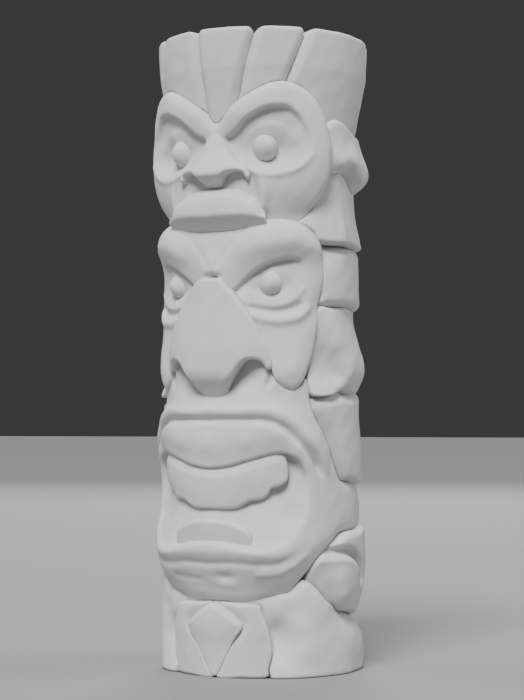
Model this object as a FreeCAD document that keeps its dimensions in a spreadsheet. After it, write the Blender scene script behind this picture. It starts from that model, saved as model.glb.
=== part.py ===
import FreeCAD, Part
import math
import os
import Sketcher

# A two-headed tiki figure, built up on a round log: the log, the crown staves and the carved blocks of the
# two masks, the mouth, the ears and the base, and the dowels that pin the blocks to the log.
# Lengths are in millimetres and angles in degrees. The log stands on the floor with its axis on Z and the
# figure faces -Y. A block's angle is counted about Z from the front (-Y) towards the figure's left (+X).

DIMENSIONS = {
    # Log
    "figure_height": 500.0,
    "log_radius": 60.0,
    "log_height": 493.0,
    "back_radius": 74.0,
    "back_bottom": 48.0,
    "back_top": 430.0,
    "back_start": 119.0,
    "back_end": 241.0,
    "seam_radius": 67.0,
    # Crown staves
    "crown_bottom": 425.0,
    "crown_low_edge": 432.0,
    "crown_high_edge": 495.0,
    "crown_low_radius": 74.0,
    "crown_high_radius": 84.0,
    "crown_rim_radius": 80.0,
    "stave_1_start": -12.0,
    "stave_2_start": 22.0,
    "stave_3_start": 52.0,
    "stave_4_start": 112.0,
    "stave_5_start": 150.0,
    "stave_6_start": 190.0,
    "stave_7_start": 230.0,
    "stave_8_start": 270.0,
    "stave_9_start": 312.0,
    "stave_9_end": 348.0,
    # Upper mask
    "swell_angle": 38.0,
    "swell_offset": 44.0,
    "swell_level": 405.0,
    "swell_depth": 40.0,
    "swell_width": 48.0,
    "swell_height": 52.0,
    "upper_mask_bottom": 348.0,
    "upper_eye_angle": 31.0,
    "upper_eye_level": 409.0,
    "upper_eye_offset": 66.0,
    "upper_eye_depth": 11.0,
    "upper_eye_width": 12.0,
    "upper_eye_height": 15.0,
    "upper_socket_offset": 86.0,
    "upper_socket_depth": 16.0,
    "upper_socket_width": 20.0,
    "upper_socket_height": 20.0,
    # Upper nose and lip
    "upper_bridge_top": 424.0,
    "upper_bridge_half": 6.0,
    "upper_nose_wing_level": 390.0,
    "upper_nose_wing_half": 25.0,
    "upper_nose_bottom": 376.0,
    "upper_nose_foot_half": 19.0,
    "upper_nose_face_radius": 58.0,
    "upper_nose_face_offset": 32.0,
    "lip_bottom": 348.0,
    "lip_low_edge": 356.0,
    "lip_high_edge": 370.0,
    "lip_top": 376.0,
    "lip_root_radius": 74.0,
    "lip_radius": 88.0,
    "lip_rim_radius": 82.0,
    "lip_start": -29.0,
    "lip_end": 29.0,
    # Lower mask
    "lower_mask_start": -62.0,
    "lower_mask_end": 62.0,
    "lower_mask_bottom": 219.0,
    "cheek_level": 236.0,
    "cheek_radius": 80.0,
    "lid_level": 285.0,
    "lid_radius": 76.0,
    "brow_low_edge": 318.0,
    "brow_level": 330.0,
    "brow_radius": 84.0,
    "lower_mask_top": 347.0,
    "forehead_radius": 78.0,
    "lower_eye_angle": 34.0,
    "lower_eye_level": 302.0,
    "lower_eye_offset": 66.0,
    "lower_eye_depth": 10.0,
    "lower_eye_width": 10.0,
    "lower_eye_height": 10.0,
    "lower_socket_offset": 84.0,
    "lower_socket_depth": 14.0,
    "lower_socket_width": 18.0,
    "lower_socket_height": 14.0,
    # Lower nose
    "lower_bridge_top": 306.0,
    "lower_bridge_half": 8.0,
    "lower_nose_wing_level": 246.0,
    "lower_nose_wing_half": 41.0,
    "lower_nose_lobe_level": 228.0,
    "lower_nose_lobe_half": 37.0,
    "lower_nose_arch_level": 242.0,
    "lower_nose_arch_half": 20.0,
    "lower_nose_bottom": 214.0,
    "lower_nose_tip_half": 6.0,
    "lower_nose_face_radius": 71.0,
    "lower_nose_face_offset": 21.0,
    # Mouth block
    "chin_bottom": 57.0,
    "chin_foot_radius": 77.0,
    "chin_low_edge": 70.0,
    "chin_radius": 88.0,
    "chin_high_edge": 98.0,
    "mouth_waist": 112.0,
    "mouth_waist_radius": 83.0,
    "mouth_shoulder": 185.0,
    "mouth_shoulder_radius": 87.0,
    "mouth_rim": 206.0,
    "mouth_rim_radius": 81.0,
    "mouth_top": 219.0,
    "chin_half_angle": 46.0,
    "mouth_half_angle": 60.0,
    "jaw_half_angle": 119.0,
    "jaw_low_edge": 90.0,
    "jaw_arm_bottom": 109.0,
    "jaw_arm_top": 150.0,
    "jaw_arm_radius": 76.0,
    "cavity_radius": 64.0,
    "cavity_bottom": 104.0,
    "cavity_top": 166.0,
    "cavity_half_angle": 42.0,
    "teeth_bottom": 134.0,
    "teeth_low_edge": 139.0,
    "teeth_top": 166.0,
    "teeth_radius": 82.0,
    "teeth_edge_radius": 78.0,
    "teeth_half_angle": 41.0,
    "tongue_top": 118.0,
    "tongue_high_edge": 112.0,
    "tongue_radius": 87.0,
    "tongue_rim_radius": 80.0,
    "tongue_half_angle": 25.0,
    # Side blocks
    "side_end": 119.0,
    "ear_start": 67.0,
    "ear_bottom": 380.0,
    "ear_low_edge": 386.0,
    "ear_low_radius": 82.0,
    "ear_high_edge": 424.0,
    "ear_high_radius": 76.0,
    "ear_top": 430.0,
    "hair_start": 50.0,
    "hair_bottom": 336.0,
    "hair_low_edge": 341.0,
    "hair_low_radius": 77.0,
    "hair_high_edge": 372.0,
    "hair_high_radius": 73.0,
    "hair_top": 380.0,
    "temple_start": 65.0,
    "temple_bottom": 285.0,
    "temple_low_edge": 291.0,
    "temple_low_radius": 76.5,
    "temple_high_edge": 328.0,
    "temple_high_radius": 76.5,
    "temple_top": 333.0,
    "lobe_start": 65.0,
    "lobe_bottom": 218.0,
    "lobe_low_edge": 228.0,
    "lobe_low_radius": 80.0,
    "lobe_high_edge": 270.0,
    "lobe_high_radius": 72.0,
    "lobe_top": 282.0,
    "flare_start": 62.0,
    "flare_bottom": 150.0,
    "flare_low_edge": 156.0,
    "flare_low_radius": 76.5,
    "flare_high_edge": 204.0,
    "flare_high_radius": 72.0,
    "flare_top": 215.0,
    "knot_start": 60.0,
    "knot_bottom": 48.0,
    "knot_low_edge": 62.0,
    "knot_low_radius": 78.0,
    "knot_high_edge": 100.0,
    "knot_high_radius": 80.5,
    "knot_top": 109.0,
    # Base collar with its bow
    "collar_radius": 80.0,
    "collar_foot_radius": 77.0,
    "collar_foot_level": 4.0,
    "collar_high_edge": 28.0,
    "collar_top": 48.0,
    "shoulder_radius": 76.0,
    "shoulder_top": 73.0,
    "shoulder_high_edge": 66.0,
    "shoulder_end": 60.0,
    "bow_bottom": 3.0,
    "bow_corner_level": 41.0,
    "bow_top": 56.0,
    "kite_half": 20.0,
    "kite_radius": 80.0,
    "leaf_foot_half": 34.0,
    "leaf_half": 40.0,
    "leaf_level": 28.0,
    "leaf_tip_half": 28.0,
    "leaf_radius": 78.0,
    "bow_bed_radius": 70.0,
    # Dowels
    "dowel_radius": 4.0,
    "dowel_inner_end": 44.0,
    "dowel_length": 26.0,
    "crown_dowel_level": 478.0,
    "brow_dowel_angle": 53.0,
    "brow_dowel_level": 395.0,
    "lip_dowel_angle": 17.5,
    "jaw_dowel_angle": 51.0,
    "collar_dowel_level": 21.0,
    "outline_depth": 100.0,
}

SIDE_BLOCKS = ("ear", "hair", "temple", "lobe", "flare", "knot")
STAVE_COUNT = 9
SIDES = (-1, 1)
HALF_TURN = 180.0
FULL_TURN = 360.0
SHEET = "Dimensions"


def make_sheet(doc):
    """The driving dimensions, one plain number and one alias a row."""
    sheet = doc.addObject("Spreadsheet::Sheet", SHEET)
    sheet.Label = SHEET
    for row, (alias, value) in enumerate(DIMENSIONS.items(), start=1):
        sheet.set(f"A{row}", alias)
        sheet.set(f"B{row}", str(value))
        sheet.setAlias(f"B{row}", alias)
    doc.recompute()
    return sheet


def cell(alias):
    """An alias as an expression sees it."""
    return f"{SHEET}.{alias}"


def turn_about_z(angle):
    """The placement that carries +X to a block's angle, counted from -Y towards +X."""
    return FreeCAD.Placement(FreeCAD.Vector(), FreeCAD.Rotation(FreeCAD.Vector(0, 0, 1), angle - 90.0))


def outward(angle, distance, level):
    """The point at a block's angle, a distance from the log's axis."""
    sine = math.sin(math.radians(angle))
    cosine = math.cos(math.radians(angle))
    return FreeCAD.Vector(distance * sine, -distance * cosine, level)


def origin_plane(body, role):
    """One of a body's own origin planes."""
    return next(item for item in body.Origin.OriginFeatures if item.Role == role)


def signed(name):
    """Splits '-alias' into its sign and its alias."""
    if name.startswith("-"):
        return -1.0, name[1:]
    return 1.0, name


def coordinate(name):
    """The number that a corner's coordinate name stands for; the empty name is zero."""
    if not name:
        return 0.0
    sign, alias = signed(name)
    return sign * DIMENSIONS[alias]


def bind_corner(sketch, corner, kind, name):
    """Ties one coordinate of a corner to its cell, or to the sketch's axis where it is zero."""
    if not name:
        axis = -2 if kind == "DistanceX" else -1
        sketch.addConstraint(Sketcher.Constraint("PointOnObject", corner, 1, axis))
        return
    sign, alias = signed(name)
    if sign > 0:
        rule = Sketcher.Constraint(kind, -1, 1, corner, 1, DIMENSIONS[alias])
    else:
        rule = Sketcher.Constraint(kind, corner, 1, -1, 1, DIMENSIONS[alias])
    index = sketch.addConstraint(rule)
    sketch.setExpression(f"Constraints[{index}]", cell(alias))


def outline_sketch(body, name, corners):
    """A closed polygon on the body's XZ plane, its corners bound to the sheet."""
    sketch = body.newObject("Sketcher::SketchObject", name)
    sketch.AttachmentSupport = [(origin_plane(body, "XZ_Plane"), "")]
    sketch.MapMode = "FlatFace"
    points = [FreeCAD.Vector(coordinate(across), coordinate(up), 0) for across, up in corners]
    count = len(points)
    for index in range(count):
        sketch.addGeometry(Part.LineSegment(points[index], points[(index + 1) % count]), False)
    for index in range(count):
        sketch.addConstraint(Sketcher.Constraint("Coincident", index, 2, (index + 1) % count, 1))
    for index, (across, up) in enumerate(corners):
        bind_corner(sketch, index, "DistanceX", across)
        bind_corner(sketch, index, "DistanceY", up)
    return sketch


def add_sector(body, name, corners, angle_rule, kind="PartDesign::Revolution"):
    """Turns a (radius, level) profile about the log's axis, or cuts with it."""
    sketch = outline_sketch(body, name + "_profile", corners)
    feature = body.newObject(kind, name)
    feature.Profile = sketch
    feature.ReferenceAxis = (sketch, ["V_Axis"])
    feature.Midplane = True
    feature.setExpression("Angle", angle_rule)
    return feature


def span(start, end):
    """The expression for the angle between two cells."""
    return f"{cell(end)} - {cell(start)}"


def sector_body(doc, name, corners, start, end):
    """One block: a profile turned from one angle to another."""
    body = doc.addObject("PartDesign::Body", name)
    add_sector(body, name + "_turn", corners, span(start, end))
    body.Placement = turn_about_z((DIMENSIONS[start] + DIMENSIONS[end]) / 2)
    return body


def block_corners(name):
    """The usual profile of a block: square to the log, its front edges bevelled down to the seams."""
    return [
        ("log_radius", name + "_bottom"),
        ("seam_radius", name + "_bottom"),
        (name + "_low_radius", name + "_low_edge"),
        (name + "_high_radius", name + "_high_edge"),
        ("seam_radius", name + "_top"),
        ("log_radius", name + "_top"),
    ]


def outline_body(doc, name, corners):
    """A front outline carried from the log's axis out through the front."""
    body = doc.addObject("PartDesign::Body", name)
    sketch = outline_sketch(body, name + "_outline", corners)
    pad = body.newObject("PartDesign::Pad", name + "_pad")
    pad.Profile = sketch
    pad.setExpression("Length", cell("outline_depth"))
    return body


def mirrored_outline(right_half):
    """Both halves of an outline, from the corners of its +X half, top to bottom."""
    left_half = [("-" + across, up) for across, up in reversed(right_half) if across]
    return right_half + left_half


def full_cylinder(doc, name, radius, height):
    """A cylinder on the log's axis."""
    cylinder = doc.addObject("Part::Cylinder", name)
    cylinder.setExpression("Radius", cell(radius))
    cylinder.setExpression("Height", cell(height))
    return cylinder


def cut(doc, name, base, tool):
    """The first solid less the second."""
    feature = doc.addObject("Part::Cut", name)
    feature.Base = base
    feature.Tool = tool
    return feature


def common(doc, name, base, tool):
    """What two solids share."""
    feature = doc.addObject("Part::Common", name)
    feature.Base = base
    feature.Tool = tool
    return feature


def fuse(doc, name, pieces):
    """Several solids as one."""
    feature = doc.addObject("Part::MultiFuse", name)
    feature.Shapes = pieces
    return feature


def mirrored(doc, name, source):
    """The figure's right-hand copy of a left-hand piece."""
    feature = doc.addObject("Part::Mirroring", name)
    feature.Source = source
    feature.Base = FreeCAD.Vector(0, 0, 0)
    feature.Normal = FreeCAD.Vector(1, 0, 0)
    return feature


def egg(doc, name, prefix, spot, side):
    """An ellipsoid that looks outward from a spot on the log, on the figure's left (+1) or right (-1)."""
    solid = doc.addObject("Part::Ellipsoid", name)
    solid.setExpression("Radius1", cell(prefix + "_height"))
    solid.setExpression("Radius2", cell(prefix + "_width"))
    solid.setExpression("Radius3", cell(prefix + "_depth"))
    angle = side * DIMENSIONS[spot + "_angle"]
    centre = outward(angle, DIMENSIONS[prefix + "_offset"], DIMENSIONS[spot + "_level"])
    solid.Placement = FreeCAD.Placement(centre, FreeCAD.Rotation(FreeCAD.Vector(0, 0, 1), angle))
    return solid


def dowel_spots():
    """Where the dowels go, group by group: (angle, level) at the middle of the block that each one pins."""
    size = DIMENSIONS
    starts = [size[f"stave_{number}_start"] for number in range(1, STAVE_COUNT + 1)]
    ends = starts[1:] + [size["stave_9_end"]]
    crown = [((start + end) / 2, size["crown_dowel_level"]) for start, end in zip(starts, ends)]
    side_angle = (size["temple_start"] + size["side_end"]) / 2
    middle = {name: (size[name + "_bottom"] + size[name + "_top"]) / 2 for name in SIDE_BLOCKS}
    lip_level = (size["lip_low_edge"] + size["lip_high_edge"]) / 2
    lid_angle = (size["lower_eye_angle"] + size["lower_mask_end"]) / 2
    cheek_level = (size["cheek_level"] + size["lid_level"]) / 2
    chin_level = (size["chin_low_edge"] + size["chin_high_edge"]) / 2
    collar_level = size["collar_dowel_level"]
    upper = [(side * size["brow_dowel_angle"], size["brow_dowel_level"]) for side in SIDES]
    upper += [(0, size["upper_nose_wing_level"])]
    upper += [(side * size["lip_dowel_angle"], lip_level) for side in SIDES]
    upper += [(side * side_angle, middle[name]) for side in SIDES for name in ("ear", "hair")]
    lower = [(side * lid_angle, cheek_level) for side in SIDES]
    lower += [(0, size["brow_level"]), (0, size["lower_nose_wing_level"])]
    lower += [(side * side_angle, middle[name]) for side in SIDES for name in ("temple", "lobe")]
    jaw = [(side * size["jaw_dowel_angle"], size["mouth_shoulder"]) for side in SIDES]
    jaw += [(0, chin_level)]
    jaw += [(side * side_angle, middle[name]) for side in SIDES for name in ("flare", "knot")]
    collar = [(side * side_angle, collar_level) for side in SIDES] + [(HALF_TURN, collar_level)]
    return {
        "crown_dowels": crown,
        "upper_face_dowels": upper,
        "lower_face_dowels": lower,
        "jaw_dowels": jaw,
        "collar_dowels": collar,
    }


def make_dowels(doc, name, spots):
    """One group of dowels, each half in the log and half in its block."""
    pins = []
    for number, (angle, level) in enumerate(spots, start=1):
        pin = doc.addObject("Part::Cylinder", f"{name}_{number}")
        pin.setExpression("Radius", cell("dowel_radius"))
        pin.setExpression("Height", cell("dowel_length"))
        upright = FreeCAD.Rotation(FreeCAD.Vector(1, 0, 0), 90)
        facing = FreeCAD.Rotation(FreeCAD.Vector(0, 0, 1), angle)
        place = outward(angle, DIMENSIONS["dowel_inner_end"], level)
        pin.Placement = FreeCAD.Placement(place, facing.multiply(upright))
        pins.append(pin)
    return fuse(doc, name, pins)


def make_log(doc):
    """The round log, with the full-width back that the applied blocks butt against."""
    heart = full_cylinder(doc, "log_heart", "log_radius", "log_height")
    corners = [
        ("log_radius", "back_bottom"),
        ("back_radius", "back_bottom"),
        ("back_radius", "back_top"),
        ("log_radius", "back_top"),
    ]
    back = sector_body(doc, "log_back", corners, "back_start", "back_end")
    return fuse(doc, "log_whole", [heart, back])


def make_upper_mask(doc, heart):
    """Two swelling lobes that meet in a V between the brows, sawn flat where the lower mask begins."""
    lobes = fuse(doc, "upper_lobes", [egg(doc, f"swell_{side}", "swell", "swell", side) for side in SIDES])
    below = full_cylinder(doc, "below_upper_mask", "figure_height", "upper_mask_bottom")
    sockets = [egg(doc, f"upper_socket_{side}", "upper_socket", "upper_eye", side) for side in SIDES]
    hollow = fuse(doc, "upper_mask_waste", [heart, below] + sockets)
    return cut(doc, "upper_mask_blank", lobes, hollow)


def make_upper_nose(doc, heart):
    """A wedge of a nose whose bridge starts between the brows."""
    half = [
        ("upper_bridge_half", "upper_bridge_top"),
        ("upper_nose_wing_half", "upper_nose_wing_level"),
        ("upper_nose_foot_half", "upper_nose_bottom"),
    ]
    outline = outline_body(doc, "upper_nose_blank", mirrored_outline(half))
    face = full_cylinder(doc, "upper_nose_face", "upper_nose_face_radius", "figure_height")
    face.setExpression("Placement.Base.y", "-" + cell("upper_nose_face_offset"))
    return cut(doc, "upper_nose_body", common(doc, "upper_nose_swept", outline, face), heart)


def make_upper_lip(doc):
    """The bar of the upper mouth, bevelled underneath."""
    corners = [
        ("log_radius", "lip_bottom"),
        ("lip_root_radius", "lip_bottom"),
        ("lip_radius", "lip_low_edge"),
        ("lip_radius", "lip_high_edge"),
        ("lip_rim_radius", "lip_top"),
        ("log_radius", "lip_top"),
    ]
    return sector_body(doc, "upper_lip_blank", corners, "lip_start", "lip_end")


def make_lower_mask(doc):
    """The lower face from the brow ridge down to the hanging cheeks."""
    corners = [
        ("log_radius", "lower_mask_bottom"),
        ("lid_radius", "lower_mask_bottom"),
        ("cheek_radius", "cheek_level"),
        ("lid_radius", "lid_level"),
        ("lid_radius", "brow_low_edge"),
        ("brow_radius", "brow_level"),
        ("forehead_radius", "lower_mask_top"),
        ("log_radius", "lower_mask_top"),
    ]
    block = sector_body(doc, "lower_mask_block", corners, "lower_mask_start", "lower_mask_end")
    sockets = [egg(doc, f"lower_socket_{side}", "lower_socket", "lower_eye", side) for side in SIDES]
    return cut(doc, "lower_mask_blank", block, fuse(doc, "lower_sockets", sockets))


def make_lower_nose(doc, heart):
    """The broad flat nose, its nostril arches cut up into the lower edge."""
    half = [
        ("lower_bridge_half", "lower_bridge_top"),
        ("lower_nose_wing_half", "lower_nose_wing_level"),
        ("lower_nose_lobe_half", "lower_nose_lobe_level"),
        ("lower_nose_arch_half", "lower_nose_arch_level"),
        ("lower_nose_tip_half", "lower_nose_bottom"),
    ]
    outline = outline_body(doc, "lower_nose_blank", mirrored_outline(half))
    face = full_cylinder(doc, "lower_nose_face", "lower_nose_face_radius", "figure_height")
    face.setExpression("Placement.Base.y", "-" + cell("lower_nose_face_offset"))
    return cut(doc, "lower_nose_body", common(doc, "lower_nose_swept", outline, face), heart)


def make_mouth_block(doc):
    """Chin, lips and jaws in one block: full height in front, then two steps back to the jaw arms."""
    body = doc.addObject("PartDesign::Body", "mouth_block_blank")
    front = [
        ("log_radius", "chin_bottom"),
        ("chin_foot_radius", "chin_bottom"),
        ("chin_radius", "chin_low_edge"),
        ("chin_radius", "chin_high_edge"),
        ("mouth_waist_radius", "mouth_waist"),
        ("mouth_shoulder_radius", "mouth_shoulder"),
        ("mouth_rim_radius", "mouth_rim"),
        ("forehead_radius", "mouth_top"),
        ("log_radius", "mouth_top"),
    ]
    add_sector(body, "mouth_front", front, f"2 * {cell('chin_half_angle')}")
    cheeks = [
        ("log_radius", "jaw_low_edge"),
        ("mouth_waist_radius", "mouth_waist"),
        ("mouth_shoulder_radius", "mouth_shoulder"),
        ("mouth_rim_radius", "mouth_rim"),
        ("forehead_radius", "mouth_top"),
        ("log_radius", "mouth_top"),
    ]
    add_sector(body, "mouth_cheeks", cheeks, f"2 * {cell('mouth_half_angle')}")
    arms = [
        ("log_radius", "jaw_arm_bottom"),
        ("jaw_arm_radius", "jaw_arm_bottom"),
        ("jaw_arm_radius", "jaw_arm_top"),
        ("log_radius", "jaw_arm_top"),
    ]
    add_sector(body, "jaw_arms", arms, f"2 * {cell('jaw_half_angle')}")
    cavity = [
        ("cavity_radius", "cavity_bottom"),
        ("outline_depth", "cavity_bottom"),
        ("outline_depth", "cavity_top"),
        ("cavity_radius", "cavity_top"),
    ]
    add_sector(body, "mouth_cavity", cavity, f"2 * {cell('cavity_half_angle')}", "PartDesign::Groove")
    body.Placement = turn_about_z(0)
    return body


def make_mouth_insert(doc, name, corners, half_angle):
    """A piece that sits in the mouth's cavity, centred on the front."""
    body = doc.addObject("PartDesign::Body", name)
    add_sector(body, name + "_turn", corners, f"2 * {cell(half_angle)}")
    body.Placement = turn_about_z(0)
    return body


def make_teeth(doc):
    """The band of upper teeth, hung from the cavity's roof."""
    corners = [
        ("cavity_radius", "teeth_bottom"),
        ("teeth_edge_radius", "teeth_bottom"),
        ("teeth_radius", "teeth_low_edge"),
        ("teeth_radius", "teeth_top"),
        ("cavity_radius", "teeth_top"),
    ]
    return make_mouth_insert(doc, "teeth", corners, "teeth_half_angle")


def make_tongue(doc):
    """The tongue, flat on the cavity's floor."""
    corners = [
        ("cavity_radius", "cavity_bottom"),
        ("tongue_radius", "cavity_bottom"),
        ("tongue_radius", "tongue_high_edge"),
        ("tongue_rim_radius", "tongue_top"),
        ("cavity_radius", "tongue_top"),
    ]
    return make_mouth_insert(doc, "tongue", corners, "tongue_half_angle")


def make_collar(doc):
    """The base ring, with a raised front behind the bow and a shoulder either side of the chin."""
    body = doc.addObject("PartDesign::Body", "collar_ring")
    ring = [
        ("log_radius", ""),
        ("collar_foot_radius", ""),
        ("collar_radius", "collar_foot_level"),
        ("collar_radius", "collar_high_edge"),
        ("seam_radius", "collar_top"),
        ("log_radius", "collar_top"),
    ]
    sketch = outline_sketch(body, "ring_profile", ring)
    turn = body.newObject("PartDesign::Revolution", "ring_turn")
    turn.Profile = sketch
    turn.ReferenceAxis = (sketch, ["V_Axis"])
    turn.Angle = FULL_TURN
    shoulder = [
        ("log_radius", "collar_high_edge"),
        ("collar_radius", "collar_high_edge"),
        ("shoulder_radius", "shoulder_high_edge"),
        ("seam_radius", "shoulder_top"),
        ("log_radius", "shoulder_top"),
    ]
    add_sector(body, "shoulders", shoulder, f"2 * {cell('shoulder_end')}")
    body.Placement = turn_about_z(0)
    return body


def make_bow(doc):
    """The kite over the two leaves: a front outline each, as thick as the collar's bed for it."""
    bed = full_cylinder(doc, "bow_bed", "bow_bed_radius", "figure_height")
    kite_half = [("", "bow_top"), ("kite_half", "bow_corner_level"), ("", "bow_bottom")]
    kite_outline = outline_body(doc, "kite_blank", mirrored_outline(kite_half))
    kite_face = full_cylinder(doc, "kite_face", "kite_radius", "figure_height")
    kite = cut(doc, "bow_kite", common(doc, "kite_swept", kite_outline, kite_face), bed)
    leaf_corners = [
        ("", "bow_top"),
        ("leaf_tip_half", "bow_top"),
        ("leaf_half", "leaf_level"),
        ("leaf_foot_half", "bow_bottom"),
        ("", "bow_bottom"),
    ]
    leaf_outline = outline_body(doc, "leaf_blank", leaf_corners)
    leaf_face = full_cylinder(doc, "leaf_face", "leaf_radius", "figure_height")
    leaf_plate = cut(doc, "leaf_plate", common(doc, "leaf_swept", leaf_outline, leaf_face), bed)
    leaf = cut(doc, "bow_leaf_left", leaf_plate, kite)
    return kite, leaf, mirrored(doc, "bow_leaf_right", leaf)


def make_staves(doc, mask, dowels):
    """The crown: staves side by side round the log's top, scribed to the upper mask where they meet it."""
    corners = [
        ("log_radius", "crown_bottom"),
        ("seam_radius", "crown_bottom"),
        ("crown_low_radius", "crown_low_edge"),
        ("crown_high_radius", "crown_high_edge"),
        ("crown_rim_radius", "figure_height"),
        ("log_radius", "figure_height"),
    ]
    waste = fuse(doc, "stave_waste", [mask, dowels])
    staves = []
    for number in range(1, STAVE_COUNT + 1):
        start = f"stave_{number}_start"
        end = f"stave_{number + 1}_start" if number < STAVE_COUNT else "stave_9_end"
        blank = sector_body(doc, f"stave_blank_{number}", corners, start, end)
        staves.append(cut(doc, f"crown_stave_{number}", blank, waste))
    return staves


def make_side_blocks(doc, neighbours, dowels):
    """The blocks over and behind each cheek, scribed to the masks and the mouth block they butt against."""
    node_names = {
        "ear": "upper_ear",
        "hair": "upper_hair",
        "temple": "temple_block",
        "lobe": "ear_lobe",
        "flare": "jaw_flare",
        "knot": "side_knot",
    }
    waste = fuse(doc, "side_waste", neighbours + [dowels])
    blocks = []
    for name in SIDE_BLOCKS:
        blank = sector_body(doc, name + "_blank", block_corners(name), name + "_start", "side_end")
        left = cut(doc, node_names[name] + "_left", blank, waste)
        blocks += [left, mirrored(doc, node_names[name] + "_right", left)]
    return blocks


def make_eyes(doc, prefix):
    """A pair of egg-shaped eyes, each let into a pocket of its own."""
    return [egg(doc, f"{prefix}_left", prefix, prefix, 1), egg(doc, f"{prefix}_right", prefix, prefix, -1)]


def build_parts(doc):
    """Every sub-part of the figure, each an object whose Label is its node's name."""
    heart = full_cylinder(doc, "heart_waste", "log_radius", "figure_height")
    groups = [make_dowels(doc, name, spots) for name, spots in dowel_spots().items()]
    dowels = fuse(doc, "all_dowels", groups)
    upper_eyes = make_eyes(doc, "upper_eye")
    lower_eyes = make_eyes(doc, "lower_eye")

    upper_nose = cut(doc, "upper_nose", make_upper_nose(doc, heart), dowels)
    upper_lip = cut(doc, "upper_lip", make_upper_lip(doc), dowels)
    upper_waste = fuse(doc, "upper_waste", upper_eyes + [upper_nose, upper_lip, dowels])
    upper_mask = cut(doc, "upper_mask", make_upper_mask(doc, heart), upper_waste)

    lower_nose = cut(doc, "lower_nose", make_lower_nose(doc, heart), dowels)
    lower_waste = fuse(doc, "lower_waste", lower_eyes + [lower_nose, dowels])
    lower_mask = cut(doc, "lower_mask", make_lower_mask(doc), lower_waste)

    mouth_waste = fuse(doc, "mouth_waste", [lower_nose, dowels])
    mouth_block = cut(doc, "mouth_block", make_mouth_block(doc), mouth_waste)

    bow = list(make_bow(doc))
    collar_waste = fuse(doc, "collar_waste", bow + [mouth_block, dowels])
    collar = cut(doc, "base_collar", make_collar(doc), collar_waste)

    # The eyes' pockets reach a little into the log, so the log is cut for them too.
    log_waste = fuse(doc, "log_waste", upper_eyes + lower_eyes + [dowels])
    log = cut(doc, "core_log", make_log(doc), log_waste)

    staves = make_staves(doc, upper_mask, dowels)
    sides = make_side_blocks(doc, [upper_mask, lower_mask, mouth_block, collar], dowels)
    faces = [upper_mask, upper_nose, upper_lip, lower_mask, lower_nose, mouth_block]
    inserts = [make_teeth(doc), make_tongue(doc)]
    return [log, collar] + bow + faces + inserts + upper_eyes + lower_eyes + staves + sides + groups


def check_document(doc):
    """Stops if any object of the document failed to compute."""
    for item in doc.Objects:
        if "Invalid" in item.State or "Error" in item.State:
            raise RuntimeError(f"{item.Name} failed: {item.State}")


def check_shape(part):
    """Stops if a sub-part has no valid solid."""
    shape = part.Shape
    if shape.isNull() or not shape.isValid() or not shape.Solids:
        raise RuntimeError(f"{part.Label} has no valid solid")


def main():
    doc = FreeCAD.newDocument("tiki_figure")
    make_sheet(doc)
    parts = build_parts(doc)
    doc.recompute()
    check_document(doc)
    for part in parts:
        part.Label = part.Name
        check_shape(part)
    os.makedirs("parts", exist_ok=True)
    for part in parts:
        box = part.Shape.BoundBox
        print(
            f"{part.Label}: {len(part.Shape.Solids)} solid(s), {part.Shape.Volume / 1000:.1f} cm3, "
            f"z {box.ZMin:.1f} to {box.ZMax:.1f}"
        )
        part.Shape.exportStep(f"parts/{part.Label}.step")


main()
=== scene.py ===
import math

import bpy
import numpy as np
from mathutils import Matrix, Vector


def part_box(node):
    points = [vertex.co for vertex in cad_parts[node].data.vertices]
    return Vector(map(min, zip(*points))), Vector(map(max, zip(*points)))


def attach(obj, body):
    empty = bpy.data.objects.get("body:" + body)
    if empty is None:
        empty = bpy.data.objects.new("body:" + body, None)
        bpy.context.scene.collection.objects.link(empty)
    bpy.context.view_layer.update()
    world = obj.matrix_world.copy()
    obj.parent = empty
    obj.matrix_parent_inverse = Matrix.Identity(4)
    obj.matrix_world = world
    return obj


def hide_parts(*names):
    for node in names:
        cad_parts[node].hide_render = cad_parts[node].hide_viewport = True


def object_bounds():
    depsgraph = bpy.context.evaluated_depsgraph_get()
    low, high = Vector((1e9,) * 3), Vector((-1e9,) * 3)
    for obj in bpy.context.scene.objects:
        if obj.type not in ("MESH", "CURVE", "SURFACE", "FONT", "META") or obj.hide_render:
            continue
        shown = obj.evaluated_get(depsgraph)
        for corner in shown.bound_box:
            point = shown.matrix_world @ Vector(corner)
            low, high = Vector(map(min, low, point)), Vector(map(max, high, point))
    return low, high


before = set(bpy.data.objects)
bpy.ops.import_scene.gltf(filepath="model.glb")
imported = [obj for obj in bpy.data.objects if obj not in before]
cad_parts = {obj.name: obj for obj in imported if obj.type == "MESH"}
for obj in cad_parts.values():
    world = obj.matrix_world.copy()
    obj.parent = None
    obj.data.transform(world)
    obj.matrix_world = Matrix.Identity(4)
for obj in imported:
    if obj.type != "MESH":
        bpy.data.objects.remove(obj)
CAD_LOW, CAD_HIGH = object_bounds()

import openvdb
from mathutils import Vector

# The tiki figure's carved pieces, each sculpted as a distance field round the log and meshed.
# A place on the figure is (angle, level): the angle in degrees about the log's axis from the front, positive
# towards the figure's left, and the level up the log. Levels, radii and depths are in units of a
# five-hundredth of the figure's height, which the frame gives.

FIGURE_HEIGHT = 500.0
UNIT = (CAD_HIGH.z - CAD_LOW.z) / FIGURE_HEIGHT
FLOOR_LEVEL = CAD_LOW.z
BODY = "root"

MEAN_RADIUS = 78.0
ARC = math.radians(MEAN_RADIUS)  # the surface's length per degree
PANEL_STEP = 0.6  # degrees or units between the marks of a panel
CURVE_PARTS = (0.0, 0.2, 0.4, 0.6, 0.8)  # the places on each stretch of a curve
SPLINE_UNIT = 50.0
FAR = 1e9
TINY = 1e-9
OUTSIDE = 10.0  # the field's value where there is no block

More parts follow.
